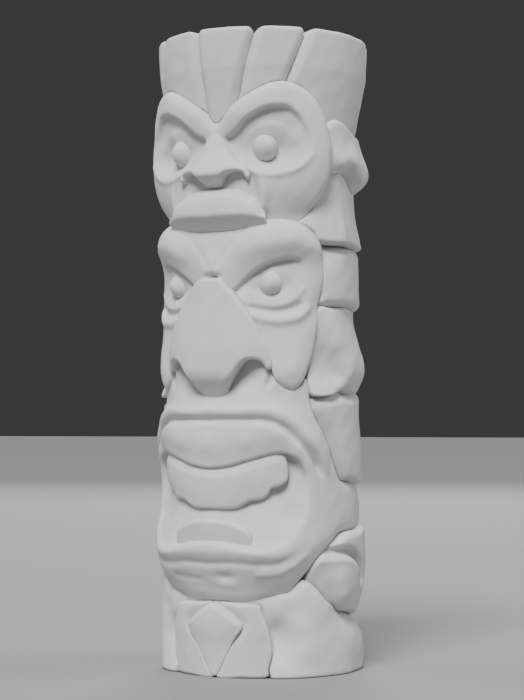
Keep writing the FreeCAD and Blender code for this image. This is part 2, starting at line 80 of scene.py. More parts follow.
TOUCH = 0.2  # how far each block reaches past its outline, so that no gap shows
WOBBLE = 0.25
WAVES = (  # each wave's length, direction and start
    (31.0, (0.8, 0.3, 0.5), 0.4),
    (23.0, (-0.4, 0.9, 0.3), 1.9),
    (17.0, (0.2, -0.5, 0.85), 3.1),
    (12.0, (0.6, 0.6, -0.5), 4.6),
)

ROLL_REACH = 0.995  # how much of a quarter circle a rolled edge turns through
BEVEL_POWER = 1.7

# The radius of each kind of block's hidden back.
LOG_RADIUS = 60.0
TONGUE_BACK = 64.0
TEETH_BACK = 66.0
BOW_BACK = 70.0

# ---------------------------------------------------------------- flat panels of the figure's surface

class Panel:
    """The log's surface unrolled flat, on which outlines, heights and creases are drawn."""

    def __init__(self, angles, levels):
        self.angles = np.arange(angles[0], angles[1] + PANEL_STEP, PANEL_STEP)
        self.levels = np.arange(levels[0], levels[1] + PANEL_STEP, PANEL_STEP)
        self.angle, self.level = np.meshgrid(self.angles, self.levels, indexing="ij")
        self.across = self.angle * ARC

    def distance(self, corners, closed):
        """Distance to a chain of corners, and the inside of a closed one."""
        across, up = self.across, self.level
        nearest = np.full(across.shape, FAR)
        inside = np.zeros(across.shape, bool)
        path = [(angle * ARC, level) for angle, level in corners]
        ends = path[1:] + path[:1] if closed else path[1:]
        for (x0, y0), (x1, y1) in zip(path, ends):
            dx, dy = x1 - x0, y1 - y0
            along = np.clip(((across - x0) * dx + (up - y0) * dy) / (dx * dx + dy * dy + TINY), 0, 1)
            gap = (across - x0 - along * dx) ** 2 + (up - y0 - along * dy) ** 2
            nearest = np.minimum(nearest, gap)
            if closed and y1 != y0:
                crossing = (x1 - x0) * (up - y0) / (y1 - y0) + x0
                inside ^= ((y0 > up) != (y1 > up)) & (across < crossing)
        return np.sqrt(nearest), inside

    def outline(self, corners, smooth=True):
        """Signed distance to a closed outline, negative inside."""
        chain = rounded(corners, True) if smooth else corners
        gap, inside = self.distance(chain, True)
        return np.where(inside, -gap, gap)

    def line(self, corners):
        """Distance to an open curve through the corners."""
        return self.distance(rounded(corners, False), False)[0]

    def oval(self, angle, level, half_width, half_height):
        """How far out of an oval a place is: 0 at its middle and 1 on its edge."""
        return np.hypot((self.across - angle * ARC) / half_width, (self.level - level) / half_height)

    def heights(self, points):
        """A smooth surface of radii through given (angle, level, radius) points."""
        places = np.array([(angle * ARC, level) for angle, level, radius in points]) / SPLINE_UNIT
        radii = np.array([radius for angle, level, radius in points])
        count = len(points)
        system = np.zeros((count + 3, count + 3))
        system[:count, :count] = thin_plate(np.hypot(*(places[:, None] - places[None]).T))
        system[:count, count:] = np.column_stack([np.ones(count), places])
        system[count:, :count] = system[:count, count:].T
        weights = np.linalg.solve(system, np.append(radii, [0, 0, 0]))
        x, y = self.across / SPLINE_UNIT, self.level / SPLINE_UNIT
        surface = weights[count] + weights[count + 1] * x + weights[count + 2] * y
        for (px, py), weight in zip(places, weights):
            surface = surface + weight * thin_plate(np.hypot(x - px, y - py))
        return surface


def thin_plate(distance):
    """The thin-plate spline's kernel."""
    return distance**2 * np.log(distance + TINY)


def rounded(corners, closed):
    """Corners joined by a Catmull-Rom curve."""
    before, after = (corners[-1:], corners[:2]) if closed else (corners[:1], corners[-1:])
    points = np.array(before + corners + after, float)
    chain = []
    for p0, p1, p2, p3 in zip(points, points[1:], points[2:], points[3:]):
        bend = 2 * p0 - 5 * p1 + 4 * p2 - p3
        twist = 3 * p1 - p0 - 3 * p2 + p3
        for part in CURVE_PARTS:
            chain.append(tuple(0.5 * (2 * p1 + (p2 - p0) * part + bend * part**2 + twist * part**3)))
    if not closed:
        chain.append(corners[-1])
    return chain


def on_side(side, points):
    """Points given for the figure's left, on its left where side is 1 and on its right where it is -1."""
    return [(side * angle, *rest) for angle, *rest in points]


def both_sides(points):
    """Points on the figure's left, with their mirror images on its right, in outline order."""
    return points + on_side(-1, [point for point in reversed(points) if point[0] > 0])


def mirrored_line(points):
    """A curve on the figure's left from its middle, carried on round to its right."""
    return on_side(-1, reversed(points[1:])) + points


def ridge(distance, height, width):
    """A soft raised roll along a curve, or a groove where the height is negative."""
    return height * np.exp(-((distance / width) ** 2))


def ease(value, start, end):
    """0 before start, 1 after end and a smooth step between them."""
    part = np.clip((value - start) / (end - start), 0, 1)
    return part * part * (3 - 2 * part)


# ---------------------------------------------------------------- solid fields

def soft_max(a, b, blend):
    """The greater of two fields, with the corner between them rounded."""
    near = np.clip(blend - np.abs(a - b), 0, None) / blend
    return np.maximum(a, b) + near * near * blend * 0.25


class Block:
    """A box of space round one piece, with each point's angle, level and radius, and its own panel."""

    def __init__(self, low, high, cell):
        self.low, self.cell = np.array(low, float), cell
        sides = [np.arange(low[i], high[i] + cell, cell, dtype=np.float32) for i in range(3)]
        self.x, self.y, self.z = np.meshgrid(*sides, indexing="ij")
        self.radius = np.hypot(self.x, self.y)
        self.angle = np.degrees(np.arctan2(self.x, -self.y))
        self.panel = Panel((self.angle.min(), self.angle.max()), (low[2], high[2]))
        self.column, self.column_part = table_places(self.angle[:, :, 0], self.panel.angles)
        self.row, self.row_part = table_places(self.z[0, 0], self.panel.levels)

    def look(self, table):
        """A table of the panel read at every point of the block."""
        table = table.astype(np.float32)
        rows = table[:, self.row] * (1 - self.row_part) + table[:, self.row + 1] * self.row_part
        part = self.column_part[:, :, None]
        return rows[self.column] * (1 - part) + rows[self.column + 1] * part

    def egg(self, angle, level, offset, depth, width, height):
        """An ellipsoid that looks outward."""
        turn = math.radians(angle)
        out = self.x * math.sin(turn) - self.y * math.cos(turn) - offset
        side = self.x * math.cos(turn) + self.y * math.sin(turn)
        size = np.sqrt((out / depth) ** 2 + (side / width) ** 2 + ((self.z - level) / height) ** 2)
        return (size - 1) * min(depth, width, height)


def table_places(values, marks):
    """Which two marks of a table each value falls between, and how far along."""
    place = np.clip((values - marks[0]) / PANEL_STEP, 0, len(marks) - 1.001)
    whole = place.astype(np.int32)
    return whole, (place - whole).astype(np.float32)


def blurred(field):
    """The field with its edges worn soft."""
    for axis in range(3):
        side = np.moveaxis(field, axis, 0)
        wear_and_shade = side.copy()
        wear_and_shade[1:-1] = (side[:-2] + 2 * side[1:-1] + side[2:]) / 4
        field = np.moveaxis(wear_and_shade, 0, axis)
    return field


def hand_wobble(block):
    """The slight unevenness of a hand-finished surface: a few long waves."""
    wave = np.zeros(block.x.shape, np.float32)
    for reach, (a, b, c), start in WAVES:
        wave += np.sin((block.x * a + block.y * b + block.z * c) * (2 * math.pi / reach) + start)
    return wave * (WOBBLE / len(WAVES))


def finish_field(block, field):
    """Adds the hand-finish, wears the edges and closes the field at the floor and at the block's faces."""
    field = np.maximum(blurred(field + hand_wobble(block)), -block.z)
    for axis in range(3):
        side = np.moveaxis(field, axis, 0)
        side[0] = np.maximum(side[0], block.cell)
        side[-1] = np.maximum(side[-1], block.cell)
    return field


def surface_of(block, field, name):
    """The field's zero surface as a Blender mesh, in metres."""
    grid = openvdb.FloatGrid(background=OUTSIDE)
    grid.copyFromArray(np.ascontiguousarray(field, dtype=np.float32))
    points, _, quads = grid.convertToPolygons(isovalue=0.0, adaptivity=0.0)
    places = (points * block.cell + block.low) * UNIT
    places[:, 2] += FLOOR_LEVEL
    return build_mesh(name, places, quads)


def build_mesh(name, places, quads):
    """A closed mesh of quads whose faces look outward."""
    a, b, c, d = (places[quads[:, i]] for i in range(4))
    volume = np.einsum("ij,ij->i", a, np.cross(b, c)).sum() + np.einsum("ij,ij->i", a, np.cross(c, d)).sum()
    if volume < 0:
        quads = quads[:, ::-1]
    mesh = bpy.data.meshes.new(name)
    mesh.vertices.add(len(places))
    mesh.vertices.foreach_set("co", places.astype(np.float32).ravel())
    mesh.loops.add(quads.size)
    mesh.loops.foreach_set("vertex_index", quads.astype(np.int32).ravel())
    mesh.polygons.add(len(quads))
    mesh.polygons.foreach_set("loop_start", np.arange(0, quads.size, 4, dtype=np.int32))
    mesh.polygons.foreach_set("use_smooth", np.ones(len(quads), bool))
    mesh.update()
    mesh.validate()
    return mesh


def place_piece(mesh, node, material):
    """Puts a piece in the scene, on the frame's body, in place of its CAD node."""
    piece = bpy.data.objects.new(mesh.name, mesh)
    bpy.context.scene.collection.objects.link(piece)
    piece.data.materials.append(material)
    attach(piece, BODY)
    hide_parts(node)


def mirror_mesh(mesh, name):
    """The same mesh on the figure's other side."""
    count = len(mesh.vertices)
    places = np.empty(count * 3, np.float32)
    mesh.vertices.foreach_get("co", places)
    places = places.reshape(-1, 3) * (-1, 1, 1)
    corners = np.empty(len(mesh.loops), np.int32)
    mesh.loops.foreach_get("vertex_index", corners)
    return build_mesh(name, places, corners.reshape(-1, 4))


def node_block(node, cell, margin):
    """The space round a CAD node, in figure units."""
    low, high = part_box(node)
    floor = Vector((0, 0, FLOOR_LEVEL))
    spare = Vector((margin, margin, margin))
    return Block((low - floor) / UNIT - spare, (high - floor) / UNIT + spare, cell)


def carve(node, field_maker, material, cell, margin=6.0, mirror=False):
    """Sculpts one piece in the space of its CAD node, and its mirror image where there is one."""
    block = node_block(node, cell, margin)
    field = finish_field(block, field_maker(block))
    mesh = surface_of(block, field, "carved_" + node)
    place_piece(mesh, node, material)
    if mirror:
        twin = node.replace("_left", "_right")
        place_piece(mirror_mesh(mesh, "carved_" + twin), twin, material)


def rolled(edge, depth, width):
    """How far a face drops as it rolls over towards its outline."""
    out = 1 - np.clip(-edge / width, 0, 1)
    return depth * (1 - np.sqrt(1 - out * out * ROLL_REACH))


def bevelled(edge, depth, width):
    """How far a face slopes down towards its outline, evenly at the edge and easing off inward."""
    out = 1 - np.clip(-edge / width, 0, 1)
    return depth * out**BEVEL_POWER


def plate(block, edge, face, blend, inner=LOG_RADIUS):
    """A block on the log: an outline's radial walls, a carved face and the log's own round back."""
    body = soft_max(block.look(edge - TOUCH), block.radius - block.look(face), blend)
    return np.maximum(body, inner - block.radius)


def hollow_field(block, corners, floor, blend):
    """A hollow cut in from the surface: an outline's radial walls down to a floor."""
    return soft_max(block.look(block.panel.outline(corners)), block.look(floor) - block.radius, blend)


def cut_under(block, body, level, radius, slope, evenness, blend):
    """Cuts a body off below a cone that climbs outward to a level at a radius.

    Evenness is the cosine of the climb, which turns a height above the cone into a depth.
    """
    under = level - (radius - block.radius) * slope - block.z
    return soft_max(body, under * evenness, blend)


# ---------------------------------------------------------------- the carved pieces

UPPER_MASK_EDGE = both_sides([
    (0, 426.5), (5, 431), (11, 439), (20, 447.5), (30, 454.5), (38, 457.6), (46, 456.5), (54, 451),
    (60, 443), (64.5, 432), (67.5, 418), (69, 402), (68.5, 387), (65.5, 372), (60, 360), (53, 351),
    (46, 345), (20, 344), (0, 344),
])
UPPER_MASK_FACE = both_sides([
    (0, 428, 79), (9, 434, 83), (22, 443, 85), (36, 450, 85.5), (50, 447, 86), (60, 434, 87),
    (66, 418, 87.5), (62, 402, 88.5), (57, 385, 87), (65, 386, 86.5), (61, 374, 84), (45, 383, 84.5),
    (35, 379, 82.5), (48, 369, 82), (35, 364, 79), (58, 364, 80), (48, 356, 75), (34, 353, 75),
    (12, 366, 77), (0, 400, 76), (10, 413, 78), (0, 360, 77), (12, 392, 76), (20, 384, 78), (16, 427, 83.5),
    (30, 440, 86.5), (46, 440, 86.5), (54, 424, 87.5), (55, 408, 88.5),
])
UPPER_SOCKET_EDGE = [
    (7, 413.5), (10.5, 417), (15, 421.5), (20, 428.5), (28.5, 435.3), (36, 437.6), (42, 436.8), (47, 431),
    (51, 422), (54, 411), (53, 400), (47, 391), (39, 386.5), (30, 386), (22, 389), (16, 396), (11, 404),
]
UPPER_SOCKET_FLOOR = [
    (9, 413, 72), (13, 418, 73), (20, 426, 76.5), (28, 433, 78.5), (36, 435, 79.5), (43, 433, 81),
    (49, 422, 82), (52, 411, 84.5), (52.5, 401, 87), (47, 391.5, 86.5), (38.5, 386.8, 86), (30, 386.5, 85),
    (22, 389, 83), (22, 397.5, 74.5), (29, 394.5, 74), (36, 394.5, 74.5), (42.5, 398.5, 76),
    (46.5, 406, 79), (15, 405, 73), (33, 428, 79), (33, 420, 78.8), (24, 421, 76.4), (42, 421, 79.4),
    (17, 414, 73.8), (46, 413, 80.2),
]
LOWER_MASK_EDGE = both_sides([
    (0, 345), (14, 346), (24, 348.6), (33, 350.6), (42, 351), (52, 348), (59.5, 341), (65, 331),
    (66.5, 315), (65.5, 300), (63, 285), (61, 266), (59, 250), (56.5, 238), (52.5, 226), (47, 219.5),
    (42, 220.5), (36.2, 226.5), (33.9, 235), (32.6, 241), (30.4, 246.6), (16, 249), (0, 249),
])
LOWER_MASK_FACE = both_sides([
    (0, 344, 78.2), (8, 336, 79.8), (16, 340, 81), (30, 344, 84.5), (44, 344, 84.5), (56, 338, 83.5),
    (10, 318, 81), (19, 324, 84.5), (28, 331, 87.8), (42, 334, 88), (55, 330, 84.5), (62, 322, 81),
    (62, 305, 79), (0, 318, 83.6), (0, 308, 84.5), (45, 286, 79), (56, 290, 79.5), (60, 270, 79),
    (46, 268, 80.5), (36, 265, 80), (52, 250, 82), (45, 234, 84), (38, 240, 82), (28, 268, 78.5),
    (22, 285, 76), (46, 224, 81.5), (12, 295, 76), (0, 260, 76), (20, 252, 76), (61, 257, 78),
    (55, 236, 80.5), (16, 311, 79.5), (24, 313.5, 81), (31, 319, 82.5), (38, 322.4, 83.4), (45, 323.4, 83),
    (51.5, 321, 80.5), (62, 285, 76.5),
])
# Each roll or groove beside the lower mask's nose, as its height, its width and its curve.
LOWER_MASK_ROLLS = [
    (-0.8, 2.6, [(20, 347), (15, 337), (8, 326), (2, 315), (0, 309)]),
    (2.6, 3.6, [(21, 278), (31, 273.5), (41, 273), (49, 276), (54, 282)]),
    (1.0, 2.1, [(13, 291), (21, 286.8), (30, 284.6), (38, 284.8), (46, 289), (52, 297.5)]),
    (-2.6, 2.8, [(23, 283), (31, 280.3), (41, 280.3), (50, 285)]),
]
LOWER_SOCKET_EDGE = [
    (10, 294), (13.5, 298), (18, 304), (24, 310.5), (31, 316), (38, 319.5), (45, 320.5), (50.5, 318),
    (53, 310), (52.5, 300), (47, 290.5), (38, 285.8), (28, 286), (20, 290.5), (14, 291.5),
]
LOWER_SOCKET_FLOOR = [
    (12, 294, 73), (19, 301, 73), (27, 310, 73.5), (36, 316.5, 74.5), (45, 317.5, 76.5), (50.5, 311, 79),
    (50.5, 299, 82), (46.5, 291, 82.5), (37.5, 286.6, 82), (28.5, 286.6, 81), (20.5, 290.8, 78.5),
    (23, 298, 73.5), (28, 294, 73.5), (34, 292.5, 74), (40, 295, 75.5), (44, 301, 76.5), (25, 304, 74.5),
    (35, 311, 76.5), (43, 309, 77.5),
]
MOUTH_EDGE = both_sides([
    (0, 249), (16, 249), (30.5, 246.7), (32.7, 241), (34, 235), (36.3, 226.4), (42, 220.8), (47, 219.8),
    (51.6, 223.6), (54.6, 229), (57, 222), (57.4, 213), (60, 203), (66, 190), (73, 176), (80, 160),
    (84.5, 151.5), (90, 149.5), (119, 149.5), (119, 109.5), (98, 110), (83, 109), (75, 103.5), (66, 96),
    (60, 89.5), (56, 82), (50, 73), (44, 65), (34, 59), (18, 57), (0, 57),
])
MOUTH_FACE = both_sides([
    (0, 244, 72), (20, 244, 72), (32.6, 243, 78.5), (34, 232, 80), (25, 236, 76.5), (0, 230, 75.5),
    (22, 230, 75), (0, 216, 77.5), (11, 216, 78), (21, 216, 80.5), (0, 210, 81), (38, 214, 79.5),
    (50, 212, 78), (0, 206, 83.5), (22, 206, 84), (38, 202, 84), (50, 190, 82.5), (0, 190, 86),
    (20, 189, 87.5), (35, 186, 87.5), (48, 176, 85.5), (0, 179, 87.8), (20, 181, 88.3), (36, 183, 87),
    (0, 167, 85), (20, 171, 85.3), (33, 175, 85), (42, 174, 83.5), (56, 166, 82.5), (60, 148, 80.5),
    (59, 130, 81), (55, 115, 83), (70, 160, 77.5), (70, 135, 79), (80, 130, 77.5), (95, 130, 77),
    (119, 131, 77), (95, 113, 76), (119, 113, 76.5), (119, 146, 74.5), (90, 147, 75), (62, 190, 79.5),
    (66, 113, 80.5), (57, 101, 83.5), (46, 97, 87), (30, 95, 90), (0, 97, 90.5), (0, 91, 88.5),
    (30, 90, 88), (0, 83, 85.5), (30, 82, 85.5), (46, 84, 84), (0, 75, 81.5), (30, 74, 81.2), (0, 66, 77),
    (25, 66, 76.5), (0, 59, 74.5), (25, 60.5, 74.3), (38, 65, 75.5), (40, 72, 79.5), (52, 80, 79),
    (60, 92, 80),
])
CAVITY_EDGE = both_sides([
    (0, 159.6), (10, 161), (20, 165), (30, 169), (38, 171), (46, 168.5), (51.5, 160), (54, 148), (54, 137),
    (52, 126), (47.5, 115), (42.5, 106), (36, 99.5), (28, 97), (20, 98.5), (10, 102), (0, 103.5),
])
CAVITY_FLOOR = both_sides([
    (0, 158, 76), (30, 168, 76), (44, 164, 73), (49.5, 154, 75), (52, 143, 77), (0, 144, 71), (30, 144, 71),
    (43, 145, 73), (51, 134, 79), (0, 136, 75), (30, 137, 75), (45, 126, 77.5), (0, 129, 76),
    (26, 128, 76.5), (0, 119, 79), (28, 117, 80.5), (40, 111, 84), (0, 105, 84), (20, 102, 84.5),
    (34, 102, 86), (48, 118, 81.5), (0, 100, 90), (20, 96, 90), (34, 96, 90),
])
TEETH_EDGE = both_sides([
    (0, 167), (20, 174), (32, 179), (39.5, 176), (42.9, 163), (43.6, 155), (42.6, 149.8), (38, 146.2),
    (33.5, 144.6), (31.5, 140), (28, 136.2), (22, 135.4), (17.5, 132), (12, 129.3), (0, 129),
])
TONGUE_EDGE = both_sides([
    (0, 121.5), (8, 120.8), (15, 118), (21.5, 113), (24, 106), (24, 95), (12, 92), (0, 92),
])
KITE_EDGE = both_sides([
    (0, 57.3), (5, 55.4), (11, 49.5), (17.6, 41), (13.5, 31), (8.5, 19), (3, 4.5), (0, 1.4),
])
COLLAR_TOP = [
    (0, 70), (44, 64.5), (50, 72.5), (53.5, 74.6), (57, 73), (61, 68.3), (65.7, 62.5), (70.2, 56.8),
    (76.2, 53.2), (81, 48.9), (90, 48.2), (119.5, 48.2), (126, 48),
]
# Each seam between two staves, as its angles at the levels CROWN_LEAN_TO and CROWN_LEAN_FROM.
CROWN_SEAMS = [
    (-10.5, -8.5), (24.5, 16), (53.8, 41.8), (114, 109), (151, 148), (190, 189), (229, 232), (269, 273),
    (318.5, 308), (349.5, 351.5),
]
CROWN_ROOT, CROWN_TOP = 424.6, 499.6
CROWN_LEAN_FROM, CROWN_LEAN_TO = 455.0, 498.0
LEAN_LEAST, LEAN_MOST = -0.7, 1.1
CROWN_FLARE = ([425, 440, 450, 469, 485, 500], [74, 77, 79, 82.6, 83.8, 84.2])  # levels and radii
BACK_RADIUS, BACK_HALF_ANGLE, BACK_FACETS = 73.6, 61.0, 9.0
BACK_LOW, BACK_HIGH = 47.8, 425.0
BACK_INNER = 57.0  # inside the log's round part, so that the two join
LOG_TOP, LOG_DOME = 494.0, 0.0009


def upper_mask_field(block):
    """Two swelling lobes, each a thick ring round a hollow eye, with a fold curling from nose to lip."""
    panel = block.panel
    edge = panel.outline(UPPER_MASK_EDGE)
    face = panel.heights(UPPER_MASK_FACE) - rolled(edge, 7.0, 9.0) * ease(panel.level, 350, 362)
    for side in (-1, 1):
        fold = panel.line(on_side(side, [(19, 394), (24, 389), (27.5, 380), (29, 370), (29, 360)]))
        lower_lid = panel.line(on_side(side, [
            (16, 394), (23, 387.5), (31, 384.8), (39, 385.2), (47.5, 390.5), (53.5, 400),
        ]))
        face = face + ridge(fold, 5.0, 4.0) + ridge(lower_lid, 1.3, 2.6)
    body = plate(block, edge, face, blend=1.5)
    for side in (-1, 1):
        lid = panel.line(on_side(side, [(19, 412), (25, 420), (33, 423.5), (41, 420), (46, 411)]))
        round_eye = panel.oval(side * 30.5, 410.8, 12.5, 11.5)
        floor = panel.heights(on_side(side, UPPER_SOCKET_FLOOR))
        floor = floor + ridge(lid, 0.6, 2.2) + ridge(round_eye, 1.9, 1.0)
        hollow = hollow_field(block, on_side(side, UPPER_SOCKET_EDGE), floor, blend=3.0)
        body = soft_max(body, -hollow, blend=3.5)
    return body


def upper_nose_field(block):
    """A flat-faced wedge with its two nostrils arched up underneath."""
    panel = block.panel
    edge = panel.outline(both_sides([
        (0, 427.5), (3.6, 425), (6, 416), (9.5, 406), (14, 398.5), (19, 393), (22, 388.5), (22.6, 384.5),
        (21.4, 381.2), (19.6, 382.4), (18.4, 386), (15, 388), (11, 387), (7.8, 384.4), (6.2, 380),
        (4.4, 376), (0, 375),
    ]))
    face = panel.heights(both_sides([
        (0, 426, 76), (4, 424, 74.5), (0, 412, 80), (6, 410, 78.5), (0, 396, 86), (9, 396, 84.5),
        (16, 394, 80.5), (0, 384, 91), (10, 389, 89), (17, 389, 86.5), (21.5, 386, 83.5), (0, 376, 91),
    ]))
    body = plate(block, edge, face - rolled(edge, 3.0, 4.0), blend=2.5)
    return cut_under(block, body, level=384.0, radius=90.5, slope=0.62, evenness=0.85, blend=2.4)


def upper_lip_field(block):
    """The thick bar of the mouth, its underside cut back under a straight front edge."""
    panel = block.panel
    edge = panel.outline(both_sides([
        (0, 374.6), (8, 375.2), (13, 374.4), (18, 372.6), (23, 368.8), (27, 364.5), (29.6, 359),
        (30.2, 352), (29, 343), (0, 342),
    ]))
    face = panel.heights(both_sides([
        (0, 374, 85), (20, 371, 84.5), (0, 366, 88.5), (22, 363, 88), (0, 360, 89), (24, 358, 88.3),
        (30, 359, 86), (0, 350, 89), (26, 350, 88.5), (0, 344, 89), (28, 344, 88),
    ]))
    body = plate(block, edge, face - bevelled(edge, 7.0, 8.5) * ease(panel.level, 350, 358), blend=1.5)
    return cut_under(block, body, level=352.8, radius=88.5, slope=1.0, evenness=0.707, blend=1.6)


def eye_field(angle, level, offset, depth, width, height):
    """A round eye, let into its hollow."""
    return lambda block: block.egg(angle, level, offset, depth, width, height)


def lower_mask_field(block):
    """Two heavy brow rolls over hollow eyes, and cheeks that hang to rounded points."""
    panel = block.panel
    face = panel.heights(LOWER_MASK_FACE)
    for side in (-1, 1):
        for height, width, corners in LOWER_MASK_ROLLS:
            face = face + ridge(panel.line(on_side(side, corners)), height, width)
    face = face + ridge(panel.oval(0, 307, 5.0, 2.2), -9.0, 1.0)
    edge = panel.outline(LOWER_MASK_EDGE)
    brow = ease(panel.level, 300, 330)
    hem = 1 - ease(panel.level, 236, 262)
    side_only = ease(np.abs(panel.angle), 35, 38)
    face = face - rolled(edge, 6.5, 10.0) * brow - rolled(edge, 5.0, 6.0) * hem * side_only
    body = plate(block, edge, face, blend=1.5)
    for side in (-1, 1):
        round_eye = panel.oval(side * 33.8, 305.5, 12, 11)
        floor = panel.heights(on_side(side, LOWER_SOCKET_FLOOR)) + ridge(round_eye, 1.7, 1.0)
        hollow = hollow_field(block, on_side(side, LOWER_SOCKET_EDGE), floor, blend=3.0)
        body = soft_max(body, -hollow, blend=2.8)
    return body


def lower_nose_field(block):
    """A broad flat plate of a nose, standing proud of the face, with an arch under each wing."""
    panel = block.panel
    edge = panel.outline(both_sides([
        (0, 305.5), (5, 305.2), (7.6, 302.5), (11, 297), (15.5, 290), (22, 277), (27.6, 262), (32.1, 249),
        (33.9, 241), (33.4, 236.5), (31.8, 235), (30.2, 237), (28, 241), (24, 243.2), (18.5, 241),
        (13, 230.5), (9, 219), (5, 211.8), (0, 209.5),
    ]))
    face = panel.heights(both_sides([
        (0, 305, 90), (6, 300, 89.5), (0, 280, 91), (14, 288, 88), (22, 270, 87.5), (0, 250, 92.3),
        (14, 250, 91), (28, 250, 86.5), (32, 240, 84.5), (0, 226, 92.3), (10, 230, 91.5), (24, 246, 88),
        (0, 212, 92),
    ]))
    body = plate(block, edge, face - rolled(edge, 1.6, 3.0), blend=2.4)
    return cut_under(block, body, level=229.5, radius=91.5, slope=1.15, evenness=0.66, blend=5.0)


def mouth_block_field(block):
    """Chin, jaws and lips in one block, open at the front for the teeth and the tongue."""
    panel = block.panel
    face = panel.heights(MOUTH_FACE)
    rim = panel.line(mirrored_line([
        (0, 205), (14, 204), (26, 205), (35, 204), (43.5, 198), (52, 187.5), (60, 176), (66.5, 163),
        (69, 150),
    ]))
    groove = panel.line(mirrored_line([
        (0, 196.8), (20, 196.8), (31, 196.3), (39.5, 191.5), (46.5, 183.5), (54, 173), (60, 162),
        (63.5, 152),
    ]))
    lip_groove = panel.line(mirrored_line([
        (0, 87.6), (14, 88.2), (26, 86.6), (36, 87.5), (44, 92.5), (52, 102), (58, 115),
    ]))
    lip_roll = panel.line(mirrored_line([
        (0, 96.5), (20, 96), (32, 94), (42, 97), (49, 106), (54, 117), (57, 130),
    ]))
    jaw_line = panel.line([(26, 79), (36, 80), (45, 86), (52, 94)])
    chin_fold = panel.line([(-26, 77), (-16, 75.8), (-8, 75.5)])
    under_wings = [(31, 243), (33, 238), (33.2, 231), (32, 224)]
    wing_line = np.minimum(panel.line(on_side(-1, under_wings)), panel.line(under_wings))
    fade = ease(panel.level, 150, 163)
    near = 1 - ease(np.abs(panel.angle), 36, 50)
    face = face + fade * (ridge(rim, 2.2, 3.6) - ridge(groove, 5.0, 2.5)) - near * ridge(lip_groove, 1.5, 2.4)
    face = face + near * ridge(lip_roll, 0.8, 3.4) + ridge(jaw_line, 1.1, 2.2) - ridge(chin_fold, 0.9, 2.2)
    face = face - ridge(wing_line, 3.0, 2.0)
    face = face - ridge(panel.oval(8, 77.5, 7, 3.2), 2.0, 1.0) + ridge(panel.oval(9, 70.8, 7, 3.0), 0.9, 1.0)
    edge = panel.outline(MOUTH_EDGE)
    underside = 1 - ease(panel.level, 92, 112)
    flanks = ease(np.abs(panel.angle), 56, 62) * (1 - underside)
    middle = 1 - ease(np.abs(panel.angle), 28, 40)
    chin_roll = rolled(edge, 6.5, 9.0) * underside * (0.25 + 0.75 * middle)
    face = face - chin_roll - bevelled(edge, 3.6, 8.0) * flanks
    body = plate(block, edge, face, blend=1.5)
    hollow = hollow_field(block, CAVITY_EDGE, panel.heights(CAVITY_FLOOR), blend=4.0)
    return soft_max(body, -hollow, blend=3.4)


def teeth_field(block):
    """A plain band of teeth with a gently stepped lower edge, tucked under the lip."""
    panel = block.panel
    edge = panel.outline(TEETH_EDGE)
    face = panel.heights(both_sides([
        (0, 158, 83.4), (0, 145, 82.7), (0, 130, 80), (20, 164, 83.6), (20, 145, 82.6), (22, 136, 80.3),
        (36, 166, 82.8), (38, 152, 81.2), (42, 156, 79.6),
    ]))
    under_lip = 1 + panel.outline(CAVITY_EDGE) / 7.0
    tuck = 2.2 * np.clip(under_lip, 0, 1) * ease(panel.level, 142, 150)
    return plate(block, edge, face - tuck - rolled(edge, 1.3, 2.2), blend=1.2, inner=TEETH_BACK)


def tongue_field(block):
    """A blunt tongue that fills the lower lip."""
    panel = block.panel
    edge = panel.outline(TONGUE_EDGE)
    face = panel.heights(both_sides([
        (0, 120, 88), (0, 110, 86.8), (0, 95, 83.5), (18, 114, 87.5), (20, 98, 84), (24, 106, 86),
    ]))
    return plate(block, edge, face - rolled(edge, 4.5, 3.4), blend=1.6, inner=TONGUE_BACK)


def ear_field(block):
    """A narrow ear, cut under at the bottom, whose lobe hangs back and out."""
    panel = block.panel
    edge = panel.outline([
        (67, 424), (71.5, 429.5), (77, 432.2), (84, 431), (91, 427), (104, 424), (119.5, 422),
        (119.5, 377.3), (110, 377.5), (102, 378.4), (96.8, 380.5), (91.5, 386.2), (86, 390), (79, 389.5),
        (72, 387), (69.6, 394), (69.6, 405), (68.5, 416),
    ])
    face = panel.heights([
        (72, 426, 79), (82, 427, 79.5), (100, 421, 78), (119, 418, 77.5), (74, 410, 80), (84, 410, 81),
        (100, 405, 82), (119, 402, 82), (73, 396, 80.5), (79, 395, 82), (89, 397.5, 84), (100, 392, 84.5),
        (119, 390, 83.5), (100, 387, 84), (110, 386, 83), (119, 384, 80), (86, 391.5, 76),
        (96.5, 382, 74.5), (79, 390.5, 76.5), (104, 379, 73), (119, 378, 72.5), (91.5, 387.5, 75.5),
        (95, 392, 84), (73, 388.5, 77),
    ])
    upper = ease(panel.level, 392, 402)
    return plate(block, edge, face - rolled(edge, 5.5, 6.0) * upper, blend=2.0)


def hair_field(block):
    """The block under the ear, flaring to a ledge, with one soft upright ridge."""
    panel = block.panel
    edge = panel.outline([
        (45, 347), (52, 350.4), (59.7, 360), (65.2, 372), (68.2, 387), (71.8, 387.2), (79, 389.7),
        (86, 390.2), (91.7, 386.4), (97, 380.7), (102.2, 378.4), (110, 377.2), (119.5, 377.2),
        (119.5, 334.3), (90, 334), (65.3, 334), (59.7, 341.2), (52, 348.2),
    ])
    face = panel.heights([
        (50, 350, 74), (60, 350, 76), (66, 340, 78.5), (90, 340, 79), (119, 341, 78), (70, 360, 75),
        (84, 362, 76.5), (100, 362, 74.5), (119, 362, 74), (72, 384, 73), (84, 385, 74.5), (100, 376, 73.5),
        (119, 372, 73.5), (82, 345, 79.5),
    ])
    upright = panel.line([(80, 386), (80.5, 365), (82, 336)])
    lower = 1 - ease(panel.level, 340, 352)
    face = face + ridge(upright, 1.0, 5.0) - rolled(edge, 6.0, 3.5) * lower
    return plate(block, edge, face, blend=1.8)


